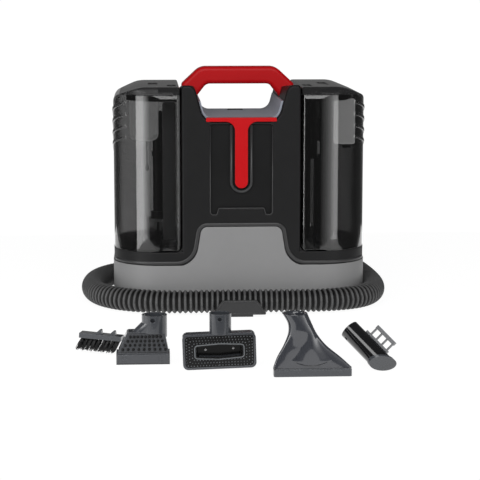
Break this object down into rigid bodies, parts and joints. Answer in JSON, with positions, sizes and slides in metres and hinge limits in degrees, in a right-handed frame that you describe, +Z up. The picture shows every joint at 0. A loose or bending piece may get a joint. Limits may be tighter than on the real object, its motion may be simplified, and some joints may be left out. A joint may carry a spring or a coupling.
{
  "type": "carpet cleaner machine",
  "caption": "Portable carpet and upholstery cleaner: two lift-out tanks beside a column with a carry handle, a corrugated hose round the base and loose tools.",
  "frame": {"origin": "middle of the machine's footprint, on the floor, under its middle foot", "axes": "+X to the right seen from the front, +Y to the back, +Z up"},
  "size_m": [0.406, 0.6326, 0.3085],
  "materials": {
    "casing_grey": "satin mid-grey",
    "cover_black": "satin black",
    "panel_black": "semi-gloss black",
    "trim_red": "gloss red",
    "deck_grey": "satin light grey-blue",
    "button_black": "satin black",
    "tank_smoke": "smoked transparent",
    "lid_smoke": "smoked gloss",
    "cup_clear": "frosted clear",
    "inner_black": "black",
    "seal_rubber": "matte",
    "foot_rubber": "matte",
    "screw_steel": "zinc plated",
    "motor_metal": "bare",
    "hose_black": "corrugated black",
    "fitting_black": "satin black",
    "wand_black": "satin black",
    "trigger_red": "gloss red",
    "tool_slate": "glossy slate",
    "tool_black": "black",
    "nub_rubber": "matte",
    "bristle": "nylon"
  },
  "bodies": {
    "machine": {"base_casing": "casing_grey", "base_pan": "fitting_black", "rubber_feet": "foot_rubber", "base_screws": "screw_steel", "front_hose_clip": "fitting_black", "front_cover": "cover_black", "rear_cover": "cover_black", "front_panel": "panel_black", "t_inlay": "trim_red", "exhaust_grille": "fitting_black", "cable_grommet": "seal_rubber", "outlet_seal": "seal_rubber", "deck_collar": "deck_grey", "switch_body": "inner_black", "handle_front_shell": "trim_red", "handle_rear_shell": "trim_red", "handle_screws": "screw_steel", "motor_can": "motor_metal", "fan_housing": "inner_black", "suction_duct": "inner_black", "pump_body": "inner_black", "valve_seat_and_tube": "inner_black", "dirt_duct": "inner_black", "hose": "hose_black", "hose_cuff_machine": "fitting_black", "hose_port": "fitting_black", "wand_body": "wand_black", "trigger_pin": "screw_steel", "wand_spray_tip": "fitting_black", "hose_cuff_wand": "fitting_black", "wand_holder": "fitting_black"},
    "rotor": {"fan_rotor": "motor_metal"},
    "button": {"power_button": "button_black"},
    "clean_tank_body": {"clean_tank": "tank_smoke", "clean_valve": "inner_black", "pickup_tube": "inner_black"},
    "poppet": {"valve_poppet": "inner_black"},
    "clean_lid_body": {"clean_tank_lid": "lid_smoke", "clean_tank_seal": "seal_rubber", "measuring_cup": "cup_clear"},
    "dirty_tank_body": {"dirty_tank": "tank_smoke", "inlet_duct": "inner_black"},
    "dirty_lid_body": {"dirty_tank_lid": "lid_smoke", "dirty_tank_seal": "seal_rubber", "float_cage_and_baffle": "inner_black"},
    "float_body": {"shutoff_float": "cup_clear"},
    "trigger": {"wand_trigger": "trigger_red"},
    "latch": {"wand_latch_button": "fitting_black"},
    "bristle_insert_body": {"bristle_insert": "tool_slate", "bristle_tufts": "bristle"},
    "brush_tool": {"brush_tool_body": "tool_slate", "brush_tool_pad": "nub_rubber", "brush_tool_bar": "tool_slate"},
    "pet_tool": {"pet_tool_body": "tool_slate", "pet_tool_pad": "nub_rubber"},
    "upholstery_tool": {"upholstery_tool_body": "tool_slate", "upholstery_tool_lip": "tool_slate"},
    "rinse_cap_body": {"rinse_cap": "tool_black", "rinse_cap_disc": "tool_slate", "rinse_cap_bracket": "tool_slate"}
  },
  "joints": [
    {"name": "fan_spin", "type": "hinge", "parent": "machine", "child": "rotor", "pos_m": [0, 0.01, 0.145], "axis": [0, 0, 1], "continuous": true},
    {"name": "power_press", "type": "slide", "parent": "machine", "child": "button", "axis": [0, 0, -1], "range_m": [0, 0.002], "stiffness_N_per_m": 800, "springref_m": -0.001},
    {"name": "clean_tank_lift", "type": "slide", "parent": "machine", "child": "clean_tank_body", "axis": [0, 0, 1], "range_m": [0, 0.24]},
    {"name": "clean_lid_lift", "type": "slide", "parent": "clean_tank_body", "child": "clean_lid_body", "axis": [0, 0, 1], "range_m": [0, 0.1]},
    {"name": "poppet_open", "type": "slide", "parent": "clean_tank_body", "child": "poppet", "axis": [0, 0, 1], "range_m": [0, 0.003], "stiffness_N_per_m": 150, "springref_m": -0.002},
    {"name": "dirty_tank_lift", "type": "slide", "parent": "machine", "child": "dirty_tank_body", "axis": [0, 0, 1], "range_m": [0, 0.24]},
    {"name": "dirty_lid_lift", "type": "slide", "parent": "dirty_tank_body", "child": "dirty_lid_body", "axis": [0, 0, 1], "range_m": [0, 0.12]},
    {"name": "float_rise", "type": "slide", "parent": "dirty_lid_body", "child": "float_body", "axis": [0, 0, 1], "range_m": [0, 0.068]},
    {"name": "trigger_pull", "type": "hinge", "parent": "machine", "child": "trigger", "pos_m": [-0.03352, 0.138, 0.17648], "axis": [0, -1, 0], "range_deg": [0, 9], "stiffness_Nm_per_rad": 0.5, "springref_deg": -2.86},
    {"name": "latch_press", "type": "slide", "parent": "machine", "child": "latch", "axis": [-0.7071, 0, -0.7071], "range_m": [0, 0.002], "stiffness_N_per_m": 800, "springref_m": -0.001},
    {"name": "bristle_insert_lift", "type": "slide", "parent": "machine", "child": "bristle_insert_body", "axis": [0, 0, 1], "range_m": [0, 0.12]},
    {"name": "brush_tool_lift", "type": "slide", "parent": "machine", "child": "brush_tool", "axis": [0, 0, 1], "range_m": [0, 0.12]},
    {"name": "pet_tool_lift", "type": "slide", "parent": "machine", "child": "pet_tool", "axis": [0, 0, 1], "range_m": [0, 0.12]},
    {"name": "upholstery_tool_lift", "type": "slide", "parent": "machine", "child": "upholstery_tool", "axis": [0, 0, 1], "range_m": [0, 0.12]},
    {"name": "rinse_cap_lift", "type": "slide", "parent": "machine", "child": "rinse_cap_body", "axis": [0, 0, 1], "range_m": [0, 0.12]}
  ]
}
